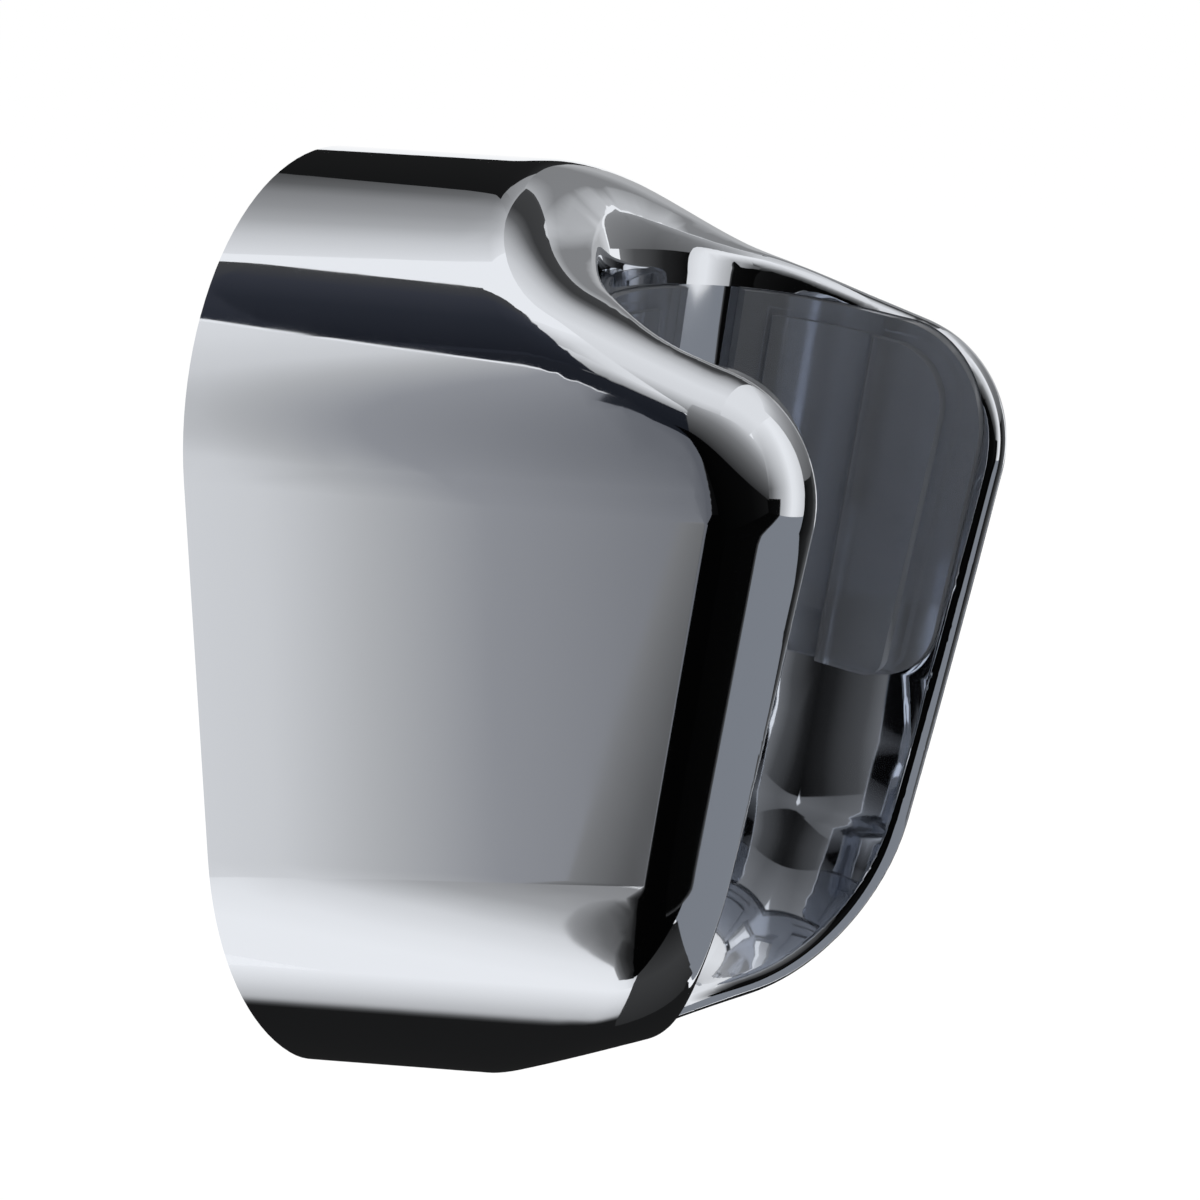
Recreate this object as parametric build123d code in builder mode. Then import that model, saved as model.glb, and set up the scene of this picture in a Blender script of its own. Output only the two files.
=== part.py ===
# Hand shower holder: chromed wall body with a slotted tapered bore, and its clear snap-in liner. Units: mm.
# Frame: X to the right, Y toward the wall at Y = 0, Z up. The origin is midway between the wall screws
from build123d import *

import os
from math import acos, cos, degrees, radians, sin, sqrt, tan

os.makedirs("parts", exist_ok=True)

# Body outline seen from the front: an egg with its narrow end down
body_top = 30.0
body_bottom = -30.4
arm_t = 5.1
egg_side_angle = 5.5
egg_shoulder_r = 19.0
egg_bottom_r = 11.5
draft_side = 0.4
draft_bottom = 3.0
loft_depth = 50.0

# Body outline seen from the side
front_lean = 12.9
front_y = -41.9
front_z = 8.2
ridge_end_y = -17.9
ridge_slope = 45.0
arm_y = -32.0
arm_z = 21.5
arm_slope = 19.0
saddle_r = 11.0
front_top_r = 8.2
front_bottom_r = 15.0
heel_y = -14.4
heel_z = -29.4
heel_slope = 20.5
rim_r = 5.6
inner_edge_r = 0.9
touch_tol = 0.001

# Tapered bore, open at the front, with a rounded lip at its mouth
bore_lean = 10.0
bore_r = 12.7
bore_taper = 1.6
bore_y = -34.6
bore_z = 22.3
lip_r = 6.0
lip_rise = 0.15
bowl_extra = 1.3
bowl_drop = 5.8
cut_reach = 70.0
right_angle = 90.0

# Hollow back with screw bosses and webs
wall_t = 3.0
core_back = 9.0
screw_pitch = 28.0
screw_hole_d = 4.6
screw_head_d = 9.0
screw_head_depth = 4.5
screw_seat_t = 3.0
boss_wall = 1.9
web_t = 1.8
web_recess = 4.0

# Clear liner in its groove, measured down the bore axis and inward from the front
liner_top = 2.5
liner_length = 23.0
liner_front = 1.6
liner_nose_r = 6.6
liner_foot_r = 4.0
groove_depth = 0.8
liner_proud = 0.6
liner_gap = 0.06
tongue_angle = 27.0
relief_angle = 46.5
relief_floor = 6.0
pad_t = 0.45
pad_margin = 1.3
pad_foot = 3.2
pad_angle = 56.0
tongue_pad_angle = 16.0
rib_t = 0.9
rib_inset = 2.7

body_height = body_top - body_bottom
egg_top_r = bore_r + arm_t
sin_bore = sin(radians(bore_lean))
cos_bore = cos(radians(bore_lean))
tan_taper = tan(radians(bore_taper))
cos_taper = cos(radians(bore_taper))
bore_base = Vector(0, bore_y, bore_z)
bore_axis = Axis(bore_base, Vector(0, -sin_bore, cos_bore))
# Lengthwise plane of the bore: local x is X and local y runs up the axis. Its normal points to the front
bore_plane = Plane(origin=bore_base, x_dir=(1, 0, 0), z_dir=(0, -cos_bore, -sin_bore))
# Cross plane of the bore: local x is X and local y points to the back. Its normal runs up the axis
bore_cross = Plane(origin=bore_base, x_dir=(1, 0, 0), z_dir=(0, -sin_bore, cos_bore))


def egg_outline(top_r, z_top, z_bottom, inset=0.0):
    """Draw the egg, or the same egg inset all round: top arc, straight sides, shoulders and bottom arc."""
    side = radians(egg_side_angle)
    top_z = z_top - top_r
    bottom_z = z_bottom + egg_bottom_r
    start_x = (top_r - egg_shoulder_r) * cos(side)
    start_z = top_z - (top_r - egg_shoulder_r) * sin(side)
    drop = start_z - bottom_z
    reach = egg_shoulder_r - egg_bottom_r
    along = start_x * sin(side) + drop * cos(side)
    travel = along - sqrt(along**2 - start_x**2 - drop**2 + reach**2)
    shoulder = Vector(start_x - travel * sin(side), start_z - travel * cos(side))
    to_bottom = Vector(-shoulder.X, bottom_z - shoulder.Y).normalized()
    to_side = Vector(cos(side), -sin(side))
    to_middle = (to_bottom + to_side).normalized()
    high = Vector(0, top_z) + to_side * (top_r - inset)
    low = shoulder + to_side * (egg_shoulder_r - inset)
    bend = shoulder + to_middle * (egg_shoulder_r - inset)
    foot = shoulder + to_bottom * (egg_shoulder_r - inset)
    ThreePointArc(high, (0, z_top - inset), (-high.X, high.Y))
    ThreePointArc(foot, (0, z_bottom + inset), (-foot.X, foot.Y))
    for flip in (1, -1):
        Line((flip * high.X, high.Y), (flip * low.X, low.Y))
        ThreePointArc((flip * low.X, low.Y), (flip * bend.X, bend.Y), (flip * foot.X, foot.Y))


def egg_loft(inset):
    """Loft the drafted body form, from the wall to beyond the front."""
    with BuildPart() as form:
        with BuildSketch(Plane.XZ):
            with BuildLine():
                egg_outline(egg_top_r, body_top, body_bottom, inset)
            make_face()
        with BuildSketch(Plane.XZ.offset(loft_depth)):
            with BuildLine():
                egg_outline(egg_top_r - loft_depth * tan(radians(draft_side)), body_top,
                            body_bottom + loft_depth * tan(radians(draft_bottom)), inset)
            make_face()
        loft(ruled=True)
    return form.part


def cross_lines(point_a, angle_a, point_b, angle_b):
    """Where two lines in the side view meet, each given by a point and its angle above the Y axis."""
    dir_a = Vector(cos(radians(angle_a)), sin(radians(angle_a)))
    dir_b = Vector(cos(radians(angle_b)), sin(radians(angle_b)))
    gap = Vector(*point_b) - Vector(*point_a)
    return Vector(*point_a) + dir_a * (gap.cross(dir_b).Z / dir_a.cross(dir_b).Z)


# Corners of the side outline
front_angle = right_angle + front_lean
front_point = (front_y, front_z)
arm_point = (arm_y, arm_z)
ridge_point = (ridge_end_y, body_top)
heel_point = (heel_y, heel_z)
crest = cross_lines(ridge_point, ridge_slope, (0, 0), right_angle)
saddle = cross_lines(ridge_point, ridge_slope, arm_point, arm_slope)
nose = cross_lines(arm_point, arm_slope, front_point, front_angle)
heel = cross_lines(heel_point, -heel_slope, (0, 0), right_angle)
chin = cross_lines(heel_point, -heel_slope, front_point, front_angle)

# The lip is a ring round the bore mouth. At the back it runs out lip_rise above the slope below the ridge
lip_turn = ridge_slope - bore_lean
lip_reach = bore_r + lip_r / cos_taper
slope_out = Vector(-sin(radians(ridge_slope)), cos(radians(ridge_slope)))
lip_room = (Vector(*ridge_point) - Vector(bore_y, bore_z)).dot(slope_out) + lip_rise - lip_r
sin_lip = sin(radians(lip_turn))
cos_lip = cos(radians(lip_turn))
lip_u = (lip_room + lip_reach * sin_lip) / (cos_lip - tan_taper * sin_lip)
lip_center = Vector(lip_reach + lip_u * tan_taper, lip_u)

# Low down the wall of the bore curls inward to its axis, and the curl runs out through the bottom of the body
bowl_r = bore_r + bowl_extra
chin_height = (chin - Vector(bore_y, bore_z)).dot(Vector(-sin_bore, cos_bore))
bowl_level = chin_height - bowl_drop + bowl_r
bowl_center = Vector(bore_r + bowl_level * tan_taper - bowl_r / cos_taper, bowl_level)


def polar(center, radius, angle):
    return center + Vector(cos(radians(angle)), sin(radians(angle))) * radius


def bore_outline(grow, flip):
    """Draw a half section of the bore up to its axis, moved outward by grow: bowl, wall and lip."""
    lip_low = 2 * right_angle - bore_taper
    lip_high = right_angle + lip_turn
    bowl_end = degrees(acos(-bowl_center.X / (bowl_r + grow)))
    bowl_points = [polar(bowl_center, bowl_r + grow, -a) for a in (bowl_end, bowl_end / 2, bore_taper)]
    lip_points = [polar(lip_center, lip_r - grow, a) for a in (lip_low, (lip_low + lip_high) / 2, lip_high)]
    foot, wall_low = bowl_points[0], bowl_points[-1]
    wall_high, lip_end = lip_points[0], lip_points[-1]
    brim = polar(lip_end, cut_reach, lip_turn)
    over = [(brim.X, cut_reach), (0, cut_reach), (0, foot.Y)]
    ThreePointArc(*[(flip * p.X, p.Y) for p in bowl_points])
    Line((flip * wall_low.X, wall_low.Y), (flip * wall_high.X, wall_high.Y))
    ThreePointArc(*[(flip * p.X, p.Y) for p in lip_points])
    Line((flip * lip_end.X, lip_end.Y), (flip * brim.X, brim.Y))
    Polyline((flip * brim.X, brim.Y), *[(flip * x, y) for x, y in over])


def shaped_bore(grow):
    """The bore with its bowl and lip as a solid, open to the front."""
    with BuildPart() as solid:
        with BuildSketch(bore_plane):
            with BuildLine():
                bore_outline(grow, 1)
            make_face()
        revolve(axis=bore_axis)
        with BuildSketch(bore_plane):
            for flip in (1, -1):
                with BuildLine():
                    bore_outline(grow, flip)
                make_face()
        extrude(amount=cut_reach)
    return solid.part


def plain_bore(grow):
    """The tapered wall of the bore alone as a solid, carried on past both ends and open to the front."""
    low_r = bore_r - cut_reach * tan_taper + grow / cos_taper
    high_r = bore_r + cut_reach * tan_taper + grow / cos_taper
    with BuildPart() as solid:
        with BuildSketch(bore_plane):
            with BuildLine():
                Polyline((0, -cut_reach), (low_r, -cut_reach),
                         (high_r, cut_reach), (0, cut_reach), close=True)
            make_face()
        revolve(axis=bore_axis)
        with BuildSketch(bore_plane):
            with BuildLine():
                Polyline((-low_r, -cut_reach), (low_r, -cut_reach),
                         (high_r, cut_reach), (-high_r, cut_reach), close=True)
            make_face()
        extrude(amount=cut_reach)
    return solid.part


def axis_point(up):
    """A point on the bore axis in the side view."""
    return (bore_y - up * sin_bore, bore_z + up * cos_bore)


def liner_block(top, foot, front, inset=0.0):
    """Side outline of the liner, extruded right through: square to the bore axis, parallel to the front."""
    across = bore_lean
    front_line = (front_y + (front + inset) / cos(radians(front_lean)), front_z)
    back_top = cross_lines(axis_point(-top), across, (0, 0), right_angle)
    back_foot = cross_lines(axis_point(-foot), across, (0, 0), right_angle)
    nose_top = cross_lines(axis_point(-top), across, front_line, front_angle)
    nose_foot = cross_lines(axis_point(-foot), across, front_line, front_angle)
    with BuildPart() as block:
        with BuildSketch(Plane.YZ):
            with BuildLine():
                Polyline(back_top, nose_top, nose_foot, back_foot, close=True)
            make_face()
            for corner, radius in ((nose_top, liner_nose_r), (nose_foot, liner_foot_r)):
                fillet(vertices().sort_by_distance((corner.X, corner.Y))[0], radius - inset)
        extrude(amount=body_height, both=True)
    return block.part


def sector(angle_a, angle_b, low, high):
    """A wedge about the bore axis between two angles from the back, and between two heights on the axis."""
    with BuildPart() as wedge:
        with BuildSketch(bore_cross.offset(low)):
            with BuildLine():
                corners = [polar(Vector(0, 0), cut_reach, right_angle - a) for a in (angle_a, angle_b)]
                Polyline((0, 0), *corners, close=True)
            make_face()
        extrude(amount=high - low)
    return wedge.part


bore_cut = shaped_bore(0)
bore_skin = shaped_bore(wall_t)
outer_form = egg_loft(0)
inner_form = egg_loft(wall_t)
liner_foot = liner_top + liner_length

# Side view of the hollow: behind the bore, and one wall below the slope behind the lip
back_wall = (bore_y + bore_r * cos_bore, bore_z + bore_r * sin_bore)
back_angle = right_angle + bore_lean - bore_taper
core_line = (bore_y + core_back * cos_bore, bore_z + core_back * sin_bore)
slope_in = (ridge_end_y - wall_t * slope_out.X, body_top - wall_t * slope_out.Y)
core_top = cross_lines(slope_in, ridge_slope, core_line, right_angle + bore_lean)
core_foot = cross_lines((0, body_bottom), 0, core_line, right_angle + bore_lean)
core_crest = cross_lines(slope_in, ridge_slope, (0, body_top), 0)

with BuildPart() as bosses:
    for side in (1, -1):
        screw_z = side * screw_pitch / 2
        bore_back = cross_lines((0, screw_z), 0, back_wall, back_angle).X
        seat = bore_back + screw_head_depth
        with BuildSketch(Plane.XZ):
            with Locations((0, screw_z)):
                Circle(screw_hole_d / 2 + boss_wall)
        extrude(amount=-bore_back)
        with BuildSketch(Plane.XZ.offset(-seat - screw_seat_t)):
            with Locations((0, screw_z)):
                Circle(screw_head_d / 2 + boss_wall)
        extrude(amount=screw_head_depth + screw_seat_t)

with BuildPart() as screw_cuts:
    for side in (1, -1):
        screw_z = side * screw_pitch / 2
        bore_back = cross_lines((0, screw_z), 0, back_wall, back_angle).X
        with BuildSketch(Plane.XZ):
            with Locations((0, screw_z)):
                Circle(screw_hole_d / 2)
        extrude(amount=-bore_back + bore_r)
        with BuildSketch(Plane.XZ.offset(-bore_back - screw_head_depth)):
            with Locations((0, screw_z)):
                Circle(screw_head_d / 2)
        extrude(amount=screw_head_depth + bore_r)

with BuildPart() as cavity:
    add(inner_form)
    with BuildSketch(Plane.YZ):
        with BuildLine():
            Polyline((0, body_bottom), (0, body_top), core_crest, core_top, core_foot, close=True)
        make_face()
    extrude(amount=body_height, both=True, mode=Mode.INTERSECT)
    add(bore_skin, mode=Mode.SUBTRACT)
    add(bosses.part, mode=Mode.SUBTRACT)
    with BuildSketch(Plane.XZ.offset(web_recess)):
        Rectangle(web_t, body_height)
        with GridLocations(0, screw_pitch, 1, 2):
            Rectangle(2 * egg_top_r, web_t)
    extrude(amount=loft_depth, mode=Mode.SUBTRACT)

with BuildPart() as groove:
    add(plain_bore(groove_depth))
    add(liner_block(liner_top - liner_gap, liner_foot, liner_front - liner_gap), mode=Mode.INTERSECT)

with BuildPart() as holder_body:
    add(outer_form)
    with BuildSketch(Plane.YZ):
        with BuildLine():
            Polyline(heel, crest, saddle, nose, chin, close=True)
        make_face()
        for corner, radius in ((saddle, saddle_r), (nose, front_top_r), (chin, front_bottom_r)):
            fillet(vertices().sort_by_distance((corner.X, corner.Y))[0], radius)
    extrude(amount=body_height, both=True, mode=Mode.INTERSECT)
    front_faces = faces().filter_by(lambda f: f.bounding_box().max.Y < ridge_end_y / 2)
    rim_edges = front_faces.edges().filter_by(GeomType.LINE, reverse=True)
    fillet(rim_edges, rim_r)
    skin = faces()
    add(bore_cut, mode=Mode.SUBTRACT)
    new_edges = edges(Select.LAST)
    mouth_edges = new_edges.filter_by(lambda e: min(f.distance_to(e @ 0.5) for f in skin) < touch_tol)
    fillet(mouth_edges, inner_edge_r)
    add(cavity.part, mode=Mode.SUBTRACT)
    add(screw_cuts.part, mode=Mode.SUBTRACT)
    add(groove.part, mode=Mode.SUBTRACT)

pad_top = -liner_top - pad_margin
band_top = -liner_foot + relief_floor
pad_core = plain_bore(-liner_proud - pad_t)
rib_core = plain_bore(-liner_proud - rib_t)
liner_core = plain_bore(-liner_proud)
liner_skin = plain_bore(groove_depth - liner_gap)
sleeve_block = liner_block(liner_top, liner_foot, liner_front)
inset_block = liner_block(liner_top + pad_margin, liner_foot, liner_front, rib_inset)
bore_clear = plain_bore(0)
wing_wedges = [sector(s * pad_angle, s * right_angle, pad_foot - liner_foot, pad_top) for s in (1, -1)]
tongue_wedge = sector(-tongue_pad_angle, tongue_pad_angle, band_top, pad_top)
relief_wedges = [sector(s * tongue_angle, s * relief_angle, band_top, cut_reach) for s in (1, -1)]

with BuildPart() as ribs:
    with BuildSketch(bore_plane):
        Rectangle(2 * egg_top_r, 2 * cut_reach)
    extrude(amount=cut_reach)
    add(inset_block, mode=Mode.INTERSECT)
    add(bore_clear, mode=Mode.INTERSECT)
    add(rib_core, mode=Mode.SUBTRACT)

with BuildPart() as pads:
    for wedge in (*wing_wedges, tongue_wedge):
        add(wedge)
    add(bore_clear, mode=Mode.INTERSECT)
    add(pad_core, mode=Mode.SUBTRACT)

with BuildPart() as clear_liner:
    add(sleeve_block)
    add(liner_skin, mode=Mode.INTERSECT)
    add(liner_core, mode=Mode.SUBTRACT)
    for wedge in relief_wedges:
        add(wedge, mode=Mode.SUBTRACT)
    add(ribs.part)
    add(pads.part)

holder_body.part.label = "holder_body"
export_step(holder_body.part, "parts/holder_body.step")
clear_liner.part.label = "clear_liner"
export_step(clear_liner.part, "parts/clear_liner.step")
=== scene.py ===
import bpy
import numpy as np
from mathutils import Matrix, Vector
from mathutils.bvhtree import BVHTree
from mathutils.kdtree import KDTree


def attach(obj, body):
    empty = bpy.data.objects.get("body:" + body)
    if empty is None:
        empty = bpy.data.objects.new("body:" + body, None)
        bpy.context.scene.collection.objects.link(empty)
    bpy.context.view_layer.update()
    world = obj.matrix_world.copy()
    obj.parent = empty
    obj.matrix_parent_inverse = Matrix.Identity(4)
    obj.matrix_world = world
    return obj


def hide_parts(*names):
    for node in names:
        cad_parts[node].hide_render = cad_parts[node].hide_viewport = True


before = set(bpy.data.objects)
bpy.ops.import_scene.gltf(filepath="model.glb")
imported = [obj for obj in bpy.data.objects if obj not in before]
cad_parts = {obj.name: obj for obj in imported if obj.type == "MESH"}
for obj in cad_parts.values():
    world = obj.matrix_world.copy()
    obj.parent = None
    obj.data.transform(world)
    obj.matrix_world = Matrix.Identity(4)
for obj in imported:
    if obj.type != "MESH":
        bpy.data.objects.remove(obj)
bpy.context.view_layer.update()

# Polished chrome, and the unpolished plate of the open back
chrome_color = (0.79, 0.815, 0.86)
chrome_rough = (0.02, 0.05)
back_color = (0.60, 0.62, 0.66)
back_rough = (0.30, 0.42)
chrome_haze_scale = 90.0
chrome_haze_detail = 6
chrome_haze_stretch = (1, 3, 1)
chrome_haze_span = (0.35, 0.75)
chrome_wave_scale = 160.0
chrome_wave_detail = 2
chrome_wave_height = 0.0000004

# Clear plastic of the liner
liner_color = (0.68, 0.71, 0.77)
liner_ior = 1.49
liner_rough = (0.05, 0.14)
liner_clear = 0.9
liner_haze_scale = 220.0
liner_haze_detail = 4
liner_haze_span = (0.3, 0.75)

# Finding the open back: how far off a face its rays start, and how squarely a face looks at the wall
back_step = 0.000005
back_turn = 0.5

# Shading of the polished skin: smooth seams share their normals, and off the flat faces normals are fitted
# to the nearest points on the same skin
join_reach = 0.0000002
join_bend = 0.97
flat_bend = 0.999997
flat_area = 0.000008
fit_points = 28
fit_side = 0.7
fit_bend = 0.92
fit_near = 0.05
fit_hold = 0.0005
fit_limit = 0.9985

# Studio
floor_z = -0.30
floor_size = 30.0
floor_color = (0.93, 0.93, 0.93)
floor_lift = 0.07
world_strength = 1.0
lamp_height = 1.2
lamp_size = 0.6
lamp_power = 1.5

# Studio cards: glowing sheets that only polished and clear surfaces see, and whose shades paint the light and
# dark that the chrome reflects (painted reflections). Cards that overlap lie a few gaps apart
back_y = 0.30
left_x = -0.64
right_x = 0.60
front_y = -0.92
top_z = 1.0
card_foot = -0.295
card_gap = 0.001
panel_left = -1.16
panel_width = 1.0
panel_middle = -0.08
edge_x = -0.13
edge_y = 0.078
bar_x = -0.56
bar_top = 0.535
slot_card = (0.030, -0.210, 0.03)
top_left = -0.90
top_width = 2.10
black = 0.001

# Camera
camera_place = (-0.37963, -0.22810, 0.07969)
camera_aim = (0.00911, -0.01516, 0.0001)
camera_lens = 206.16
camera_clip = 0.01


def node(tree, kind, **settings):
    """Add a node and set its properties."""
    made = tree.nodes.new("ShaderNode" + kind)
    for name, value in settings.items():
        setattr(made, name, value)
    return made


def ramp(tree, source, stops):
    """A colour ramp along a 0 to 1 value, from (position, grey or colour) stops."""
    made = node(tree, "ValToRGB")
    elements = made.color_ramp.elements
    while len(elements) < len(stops):
        elements.new(0.5)
    for element, (position, shade) in zip(elements, stops):
        color = shade if isinstance(shade, tuple) else (shade, shade, shade)
        element.position = position
        element.color = (*color, 1)
    tree.links.new(source, made.inputs["Fac"])
    return made.outputs["Color"]


def noise(tree, scale, detail, stretch=(1, 1, 1)):
    """Noise over the object's own coordinates."""
    place = node(tree, "TexCoord")
    spread = node(tree, "Mapping")
    spread.inputs["Scale"].default_value = stretch
    made = node(tree, "TexNoise")
    made.inputs["Scale"].default_value = scale
    made.inputs["Detail"].default_value = detail
    tree.links.new(place.outputs["Object"], spread.inputs["Vector"])
    tree.links.new(spread.outputs["Vector"], made.inputs["Vector"])
    return made.outputs["Fac"]


def blank_material(name):
    """A node material with only its surface shader and output."""
    material = bpy.data.materials.new(name)
    material.use_nodes = True
    return material, material.node_tree, material.node_tree.nodes["Principled BSDF"]


def add_haze(tree, shader, haze, span, rough):
    """Let a pattern vary a shader's roughness: its span gives the low and the high value."""
    stops = list(zip(span, rough))
    tree.links.new(ramp(tree, haze, stops), shader.inputs["Roughness"])


def chrome_material(name, color, rough):
    """Chrome plate with faint haze and the slight waviness of the moulding under it."""
    material, tree, shader = blank_material(name)
    shader.inputs["Base Color"].default_value = (*color, 1)
    shader.inputs["Metallic"].default_value = 1
    haze = noise(tree, chrome_haze_scale, chrome_haze_detail, chrome_haze_stretch)
    add_haze(tree, shader, haze, chrome_haze_span, rough)
    bump = node(tree, "Bump")
    bump.inputs["Distance"].default_value = chrome_wave_height
    tree.links.new(noise(tree, chrome_wave_scale, chrome_wave_detail), bump.inputs["Height"])
    tree.links.new(bump.outputs["Normal"], shader.inputs["Normal"])
    return material


def liner_material():
    """Clear moulded plastic, a little hazy."""
    material, tree, shader = blank_material("clear_plastic")
    shader.inputs["Base Color"].default_value = (*liner_color, 1)
    shader.inputs["Transmission Weight"].default_value = liner_clear
    shader.inputs["IOR"].default_value = liner_ior
    haze = noise(tree, liner_haze_scale, liner_haze_detail)
    add_haze(tree, shader, haze, liner_haze_span, liner_rough)
    return material


def unit(vectors):
    """Each vector of a list, scaled to a length of 1."""
    return vectors / np.linalg.norm(vectors, axis=1, keepdims=True)


def joined_normals(mesh, places, tree):
    """The normal at each point, shared across smooth seams, and whether it is a flat face's normal."""
    own = np.array([v.normal for v in mesh.vertices])
    largest = np.zeros_like(own)
    area = np.zeros(len(own))
    for face in sorted(mesh.polygons, key=lambda polygon: polygon.area):
        largest[list(face.vertices)] = face.normal
        area[list(face.vertices)] = face.area
    on_flat = ((largest * own).sum(1) > flat_bend) & (area > flat_area)
    joined = np.zeros_like(own)
    flat = np.zeros(len(own), dtype=bool)
    for index, place in enumerate(places):
        twins = [found[1] for found in tree.find_range(place, join_reach)]
        alike = [twin for twin in twins if own[twin] @ own[index] > join_bend]
        flats = [twin for twin in alike if on_flat[twin]]
        joined[index] = own[flats or alike].mean(0)
        flat[index] = bool(flats)
    return unit(joined), flat


def fitted_normals(mesh):
    """The normal at each point of a mesh: its own on flat faces, else from a curved patch fitted round it."""
    places = np.array([v.co for v in mesh.vertices])
    tree = KDTree(len(places))
    for index, place in enumerate(places):
        tree.insert(place, index)
    tree.balance()
    normals, flat = joined_normals(mesh, places, tree)
    near = np.array([[found[1] for found in tree.find_n(place, fit_points)] for place in places])
    helper = np.where(np.abs(normals[:, :1]) < fit_side, (1, 0, 0), (0, 1, 0))
    side = unit(np.cross(normals, helper))
    up = np.cross(normals, side)
    offset = places[near] - places[:, None]
    reach = np.sqrt((offset**2).sum(2).max(1, keepdims=True))
    a, b, rise = [np.einsum("nkc,nc->nk", offset, axis) / reach for axis in (side, up, normals)]
    alike = np.einsum("nkc,nc->nk", normals[near], normals) > fit_bend
    weight = alike / (fit_near + a**2 + b**2)
    terms = np.stack([a, b, a * a, a * b, b * b], 2)
    matrix = np.einsum("nki,nk,nkj->nij", terms, weight, terms)
    matrix += np.eye(terms.shape[2]) * fit_hold * weight.sum(1)[:, None, None]
    heights = np.einsum("nki,nk,nk->ni", terms, weight, rise)
    slopes = np.linalg.solve(matrix, heights[..., None])[..., 0]
    fitted = unit(normals - slopes[:, :1] * side - slopes[:, 1:2] * up)
    close = (fitted * normals).sum(1) > fit_limit
    return np.where((close & ~flat)[:, None], fitted, normals)


def back_faces(mesh):
    """For each face, whether it lies in the open back: the body before and round it, the wall behind it."""
    points = [v.co for v in mesh.vertices]
    tree = BVHTree.FromPolygons(points, [tuple(face.vertices) for face in mesh.polygons])
    found = []
    for face in mesh.polygons:
        place = face.center + face.normal * back_step
        open_behind = tree.ray_cast(place, (0, 1, 0))[0] is None
        body_before = tree.ray_cast(place, (0, -1, 0))[0] is not None
        faces_wall = face.normal.y > back_turn
        faces_body = tree.ray_cast(place, face.normal)[0] is not None
        found.append(open_behind and body_before and (faces_wall or faces_body))
    return found


def polished_copy(name):
    """A piece that stands for a CAD node, with the same mesh and finer shading."""
    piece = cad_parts[name].copy()
    piece.name = name + "_polished"
    piece.data = piece.data.copy()
    bpy.context.scene.collection.objects.link(piece)
    piece.data.normals_split_custom_set_from_vertices(fitted_normals(piece.data))
    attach(piece, "root")
    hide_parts(name)
    return piece


def dress(piece, finishes):
    """Give a piece these materials and no others."""
    piece.data.materials.clear()
    for finish in finishes:
        piece.data.materials.append(finish)


def sheet(name, corners):
    """A four-cornered flat sheet whose texture runs 0 to 1 along its first and second edges."""
    mesh = bpy.data.meshes.new(name)
    mesh.from_pydata(corners, [], [(0, 1, 2, 3)])
    layer = mesh.uv_layers.new(name="UVMap")
    for loop, spot in zip(layer.data, ((0, 0), (1, 0), (1, 1), (0, 1))):
        loop.uv = spot
    made = bpy.data.objects.new(name, mesh)
    bpy.context.scene.collection.objects.link(made)
    return made


def card(name, start, along, up, shades, lighten=((0, 0), (1, 0))):
    """A studio card from a corner and two edges: shades run along the first, and it lightens up the other. It
    glows only for reflections, so its shades are painted reflections of light and dark.
    """
    first = Vector(start)
    corners = [first, first + Vector(along), first + Vector(along) + Vector(up), first + Vector(up)]
    made = sheet(name, corners)
    material = bpy.data.materials.new(name)
    material.use_nodes = True
    tree = material.node_tree
    tree.nodes.clear()
    spot = node(tree, "TexCoord")
    split = node(tree, "SeparateXYZ")
    mix = node(tree, "Mix", data_type="RGBA")
    glow = node(tree, "Emission")
    out = node(tree, "OutputMaterial")
    mix.inputs["B"].default_value = (1, 1, 1, 1)
    tree.links.new(spot.outputs["UV"], split.inputs["Vector"])
    tree.links.new(ramp(tree, split.outputs["X"], shades), mix.inputs["A"])
    tree.links.new(ramp(tree, split.outputs["Y"], lighten), mix.inputs["Factor"])
    tree.links.new(mix.outputs["Result"], glow.inputs["Color"])
    tree.links.new(glow.outputs["Emission"], out.inputs["Surface"])
    made.data.materials.append(material)
    # Only reflections and the clear liner see the card: it lights nothing and casts no shadow, so its glow is
    # painted light and shade
    made.visible_camera = False
    made.visible_diffuse = False
    made.visible_shadow = False


def studio_world():
    """White all round."""
    world = bpy.data.worlds.new("studio")
    world.use_nodes = True
    sky = world.node_tree.nodes["Background"]
    sky.inputs["Color"].default_value = (1, 1, 1, 1)
    sky.inputs["Strength"].default_value = world_strength
    bpy.context.scene.world = world


def studio_floor():
    """Plain white floor well below the holder."""
    half = floor_size / 2
    floor = sheet("floor", [(-half, -half, floor_z), (half, -half, floor_z),
                            (half, half, floor_z), (-half, half, floor_z)])
    material, _, shader = blank_material("floor")
    shader.inputs["Base Color"].default_value = (*floor_color, 1)
    shader.inputs["Roughness"].default_value = 1
    shader.inputs["Specular IOR Level"].default_value = 0
    shader.inputs["Emission Color"].default_value = (1, 1, 1, 1)
    shader.inputs["Emission Strength"].default_value = floor_lift
    floor.data.materials.append(material)


def studio_lamp():
    """One softbox overhead."""
    light = bpy.data.lights.new("softbox", "AREA")
    light.shape = "SQUARE"
    light.size = lamp_size
    light.energy = lamp_power
    lamp = bpy.data.objects.new("softbox", light)
    lamp.location = (0, 0, lamp_height)
    lamp.visible_camera = False
    bpy.context.scene.collection.objects.link(lamp)


def studio_camera():
    """The photograph's view, from the left and a little above."""
    view = bpy.data.cameras.new("camera")
    view.lens = camera_lens
    view.clip_start = camera_clip
    camera = bpy.data.objects.new("camera", view)
    camera.location = camera_place
    facing = Vector(camera_aim) - Vector(camera_place)
    camera.rotation_euler = facing.to_track_quat("-Z", "Y").to_euler()
    bpy.context.scene.collection.objects.link(camera)
    bpy.context.scene.camera = camera


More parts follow.
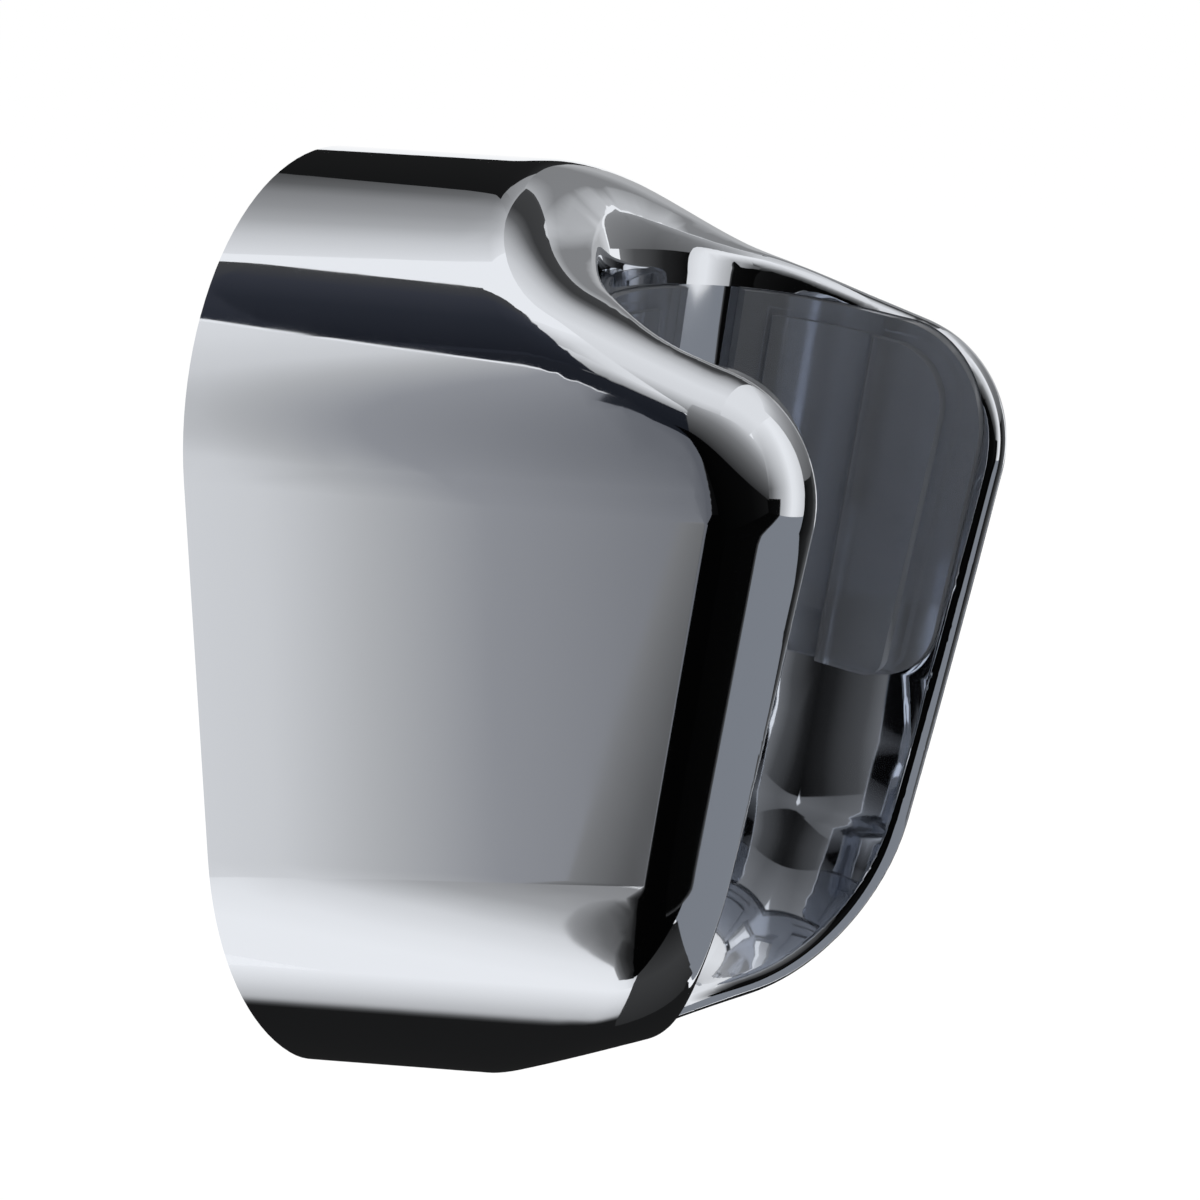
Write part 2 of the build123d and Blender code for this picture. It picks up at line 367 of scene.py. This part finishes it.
def left_panel_cards():
    """Light panel behind on the left, fading toward the camera's side, and the card on the floor in front of
    it.
    """
    panel_shades = [(0.34, (0.125, 0.13, 0.145)), (0.46, (0.165, 0.17, 0.185)), (0.57, (0.32, 0.325, 0.34)),
                    (0.61, 0.52), (0.64, 0.71), (0.69, 0.80), (0.80, 0.92)]
    middle = (panel_left, back_y, panel_middle)
    card("left_panel_high",
         start=middle, along=(panel_width, 0, 0), up=(0.078, 0, 0.46),
         shades=panel_shades)
    card("left_panel_low",
         start=middle, along=(panel_width, 0, 0), up=(0.033, 0, -0.225),
         shades=panel_shades)
    card("panel_corner",
         start=(-0.5575, back_y - card_gap, -0.302), along=(-0.0201, 0, -0.0222), up=(-0.085, 0, 0.077),
         shades=[(0.0, 0.24), (0.25, 0.185), (0.45, 0.15), (0.65, 0.11), (1.0, 0.085)])
    # The card on the floor, seen only in reflections, is brighter away from the camera's side and has a dark
    # edge on that side: painted light and shade, as the real floor is plain white
    card("panel_floor",
         start=(-0.063, -0.043, card_foot - 4 * card_gap), along=(0.0753, 0.118, 0), up=(-0.56, 0.357, 0),
         shades=[(0.0, 0.28), (0.14, 0.31), (0.29, 0.42), (0.39, 0.60),
                 (0.47, 0.77), (0.63, 0.94), (0.76, 1.0)])
    card("panel_edge",
         start=(edge_x, edge_y, card_foot - 2 * card_gap), along=(0, 0.030, 0), up=(-0.61, 0.24, 0),
         shades=[(0.0, 0.01), (0.3, 0.02), (0.6, 0.055), (0.83, 0.15), (1.0, 0.34)])


def dark_bar_cards():
    """Dark bar above the panel with its raised middle and its wide left end, and the soft glow over it."""
    bar_shades = [(0.0, (0.014, 0.016, 0.022)), (0.5, (0.024, 0.027, 0.036)), (0.8, (0.04, 0.043, 0.055)),
                  (1.0, 0.065)]
    end_shades = [(0.0, (0.016, 0.018, 0.024)), (0.4, (0.012, 0.014, 0.019)), (1.0, 0.006)]
    card("dark_bar",
         start=(-0.60, back_y - 5 * card_gap, 0.38), along=(0.46, 0, 0), up=(0, 0, 0.12),
         shades=bar_shades)
    card("bar_middle",
         start=(bar_x, back_y - 6 * card_gap, bar_top), along=(0.25, 0, 0.125), up=(0.17, 0, -0.16),
         shades=bar_shades)
    card("bar_end",
         start=(-0.42, back_y - 8 * card_gap, 0.382), along=(-0.70, 0, 0), up=(-0.42, 0, 0.458),
         shades=end_shades)
    card("bar_end_low",
         start=(-0.585, back_y - 8 * card_gap, 0.31), along=(-0.50, 0, 0.05), up=(0, 0, 0.09),
         shades=end_shades)
    card("bar_fade",
         start=(bar_x, back_y - 3 * card_gap, bar_top), along=(0.20, 0, 0), up=(-0.84, 0, 0.916),
         shades=[(0.0, 0.16), (0.1, 0.36), (0.45, 0.51), (0.8, 0.69), (1.0, 0.75)])
    card("bar_glow",
         start=(panel_left, back_y, 0.498), along=(0.82, 0, 0), up=(0, 0, 0.90),
         shades=[(0.0, 0.30), (0.9, 0.34), (1.0, 0.8)],
         lighten=[(0.0, 0.0), (0.13, 0.30), (0.22, 0.52), (0.32, 0.69), (0.5, 0.78), (1.0, 0.85)])


def right_side_cards():
    """Light behind that fades to the right, the black card beside it, and the grey and black on the right."""
    card("back_light",
         start=(-0.16, back_y, 0.36), along=(0.50, 0, 0), up=(0.28, 0, 0.80),
         shades=[(0.0, 0.84), (0.18, 0.64), (0.34, 0.40), (0.5, 0.28),
                 (0.68, 0.21), (0.82, 0.09), (1.0, 0.05)],
         lighten=[(0.0, 0.0), (1.0, 0.45)])
    card("back_black",
         start=(0.30, back_y - 5 * card_gap, 0.16), along=(0.50, 0, 0), up=(0.04, 0, 0.44),
         shades=[(0.0, 0.010), (0.6, 0.014), (1.0, 0.03)])
    card("back_grey",
         start=(0.34, back_y, 0.58), along=(0.90, 0, 0), up=(0.1, 0, 0.75),
         shades=[(0.0, 0.26), (0.3, 0.31), (1.0, 0.32)],
         lighten=[(0.0, 0.0), (0.4, 0.05), (1.0, 0.5)])
    card("right_panel",
         start=(right_x, 0.22, -0.05), along=(0, -0.37, 0), up=(0, 0, 0.75),
         shades=[(0.0, 0.25), (0.73, 0.26), (0.92, 0.55), (1.0, 0.6)],
         lighten=[(0.0, 0.3), (0.4, 0.3), (0.5, 0.0), (0.75, 0.0), (1.0, 0.3)])
    card("low_black",
         start=(-0.10, -0.10, card_foot), along=(1.60, 0, 0), up=(0, 1.40, 0),
         shades=[(0.0, 1.0), (0.025, 0.81), (0.053, 0.54), (0.0625, 0.13), (0.068, 0.012), (1.0, 0.02)])


def camera_side_cards():
    """Black cards on the camera's side, upright and on the floor, and the soft light above them."""
    card("camera_black",
         start=(left_x, front_y, card_foot), along=(0, 0.945, 0), up=(0, 0.22, 0.65),
         shades=[(0.0, 0.008), (0.45, 0.003), (1.0, black)])
    card("left_far",
         start=(-1.02, back_y - 2 * card_gap, card_foot), along=(0, -0.40, 0), up=(0, 0, 0.75),
         shades=[(0.0, 0.06), (0.04, 0.004), (1.0, black)])
    card("camera_upper",
         start=(left_x + 5 * card_gap, front_y, -0.10), along=(0, 1.12, 0.45), up=(0, 0, 0.90),
         shades=[(0.0, 0.03), (1.0, 0.03)],
         lighten=[(0.0, 0.0), (0.22, 0.08), (0.45, 0.19), (0.67, 0.35), (1.0, 0.64)])
    card("camera_floor",
         start=(edge_x, edge_y, card_foot + 2 * card_gap), along=(-0.92, 0.362, 0), up=(-0.275, -0.35, 0),
         shades=[(0.0, black), (1.0, black)])
    card("camera_floor_front",
         start=(-0.335, front_y, card_foot + 2 * card_gap), along=(-0.65, 0, 0), up=(0, 0.87, 0),
         shades=[(0.0, 0.08), (0.03, 0.002), (1.0, black)])
    card("front_low",
         start=(-0.34, front_y + 5 * card_gap, card_foot), along=(-0.46, 0, 0), up=(0, 0, 0.225),
         shades=[(0.0, 0.08), (0.05, 0.004), (1.0, black)])
    # Dark card on the floor under the holder: a painted dark reflection of the floor there
    card("under_floor",
         start=(-0.27, -0.13, card_foot + card_gap), along=(0.32, 0, 0), up=(0, 0.20, 0),
         shades=[(0.0, 0.012), (0.5, 0.05), (1.0, 0.03)])


def front_cards():
    """Dark and grey cards that the bore shows through its slot, and the front light, brightest midway."""
    card("front_black",
         start=slot_card, along=(0.1195, 0.1195, 0), up=(0, 0, -0.12),
         shades=[(0.0, 0.004), (0.35, 0.02), (0.55, 0.06), (0.75, 0.09), (1.0, 0.22)])
    card("front_grey",
         start=slot_card, along=(0.145, 0.145, 0), up=(0, 0, 0.30),
         shades=[(0.0, 0.16), (0.4, 0.12), (1.0, 0.22)],
         lighten=[(0.0, 0.0), (0.25, 0.10), (0.6, 0.35), (1.0, 0.75)])
    card("front_upper",
         start=(-0.80, front_y, card_foot), along=(1.60, 0, 0), up=(0, 0, 1.875),
         shades=[(0.0, 0.07), (0.15, 0.14), (0.35, 0.61), (0.45, 0.95),
                 (0.50, 0.93), (0.65, 0.66), (0.71, 0.38), (0.77, 0.71)],
         lighten=[(0.2, 0.0), (0.37, 0.3), (0.58, 0.55), (0.85, 0.78), (1.0, 0.85)])


def overhead_cards():
    """Overhead light, fading to the right, and the light in front of it."""
    card("top_light",
         start=(top_left, -0.10, top_z), along=(top_width, 0, 0), up=(0, 0.40, 0),
         shades=[(0.0, 0.20), (0.2, 0.80), (0.35, 0.86), (0.45, 0.71), (0.52, 0.51),
                 (0.62, 0.13), (0.68, 0.05), (0.82, 0.06), (1.0, 0.18)])
    card("top_front",
         start=(top_left, -0.70, top_z + 5 * card_gap), along=(top_width, 0, 0), up=(0, 0.605, 0),
         shades=[(0.0, 0.45), (0.15, 0.75), (0.3, 0.88), (0.5, 0.88), (1.0, 0.6)])


def front_floor_card():
    """Grey card on the floor in front, seen only in reflections: a painted grey reflection, as the real floor
    is white.
    """
    card("front_floor",
         start=(-0.50, front_y, card_foot), along=(1.50, 0, 0), up=(0, 0.80, 0),
         shades=[(0.0, (0.23, 0.245, 0.27)), (1.0, (0.24, 0.255, 0.28))])


body = polished_copy("holder_body")
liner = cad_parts["clear_liner"]
polished = chrome_material("chrome", chrome_color, chrome_rough)
unpolished = chrome_material("chrome_back", back_color, back_rough)
dress(body, [polished, unpolished])
dress(liner, [liner_material()])
for face, behind in zip(body.data.polygons, back_faces(body.data)):
    face.material_index = int(behind)

studio_world()
studio_floor()
studio_lamp()
studio_camera()
left_panel_cards()
dark_bar_cards()
right_side_cards()
camera_side_cards()
front_cards()
overhead_cards()
front_floor_card()

scene = bpy.context.scene
scene.view_settings.view_transform = "Standard"
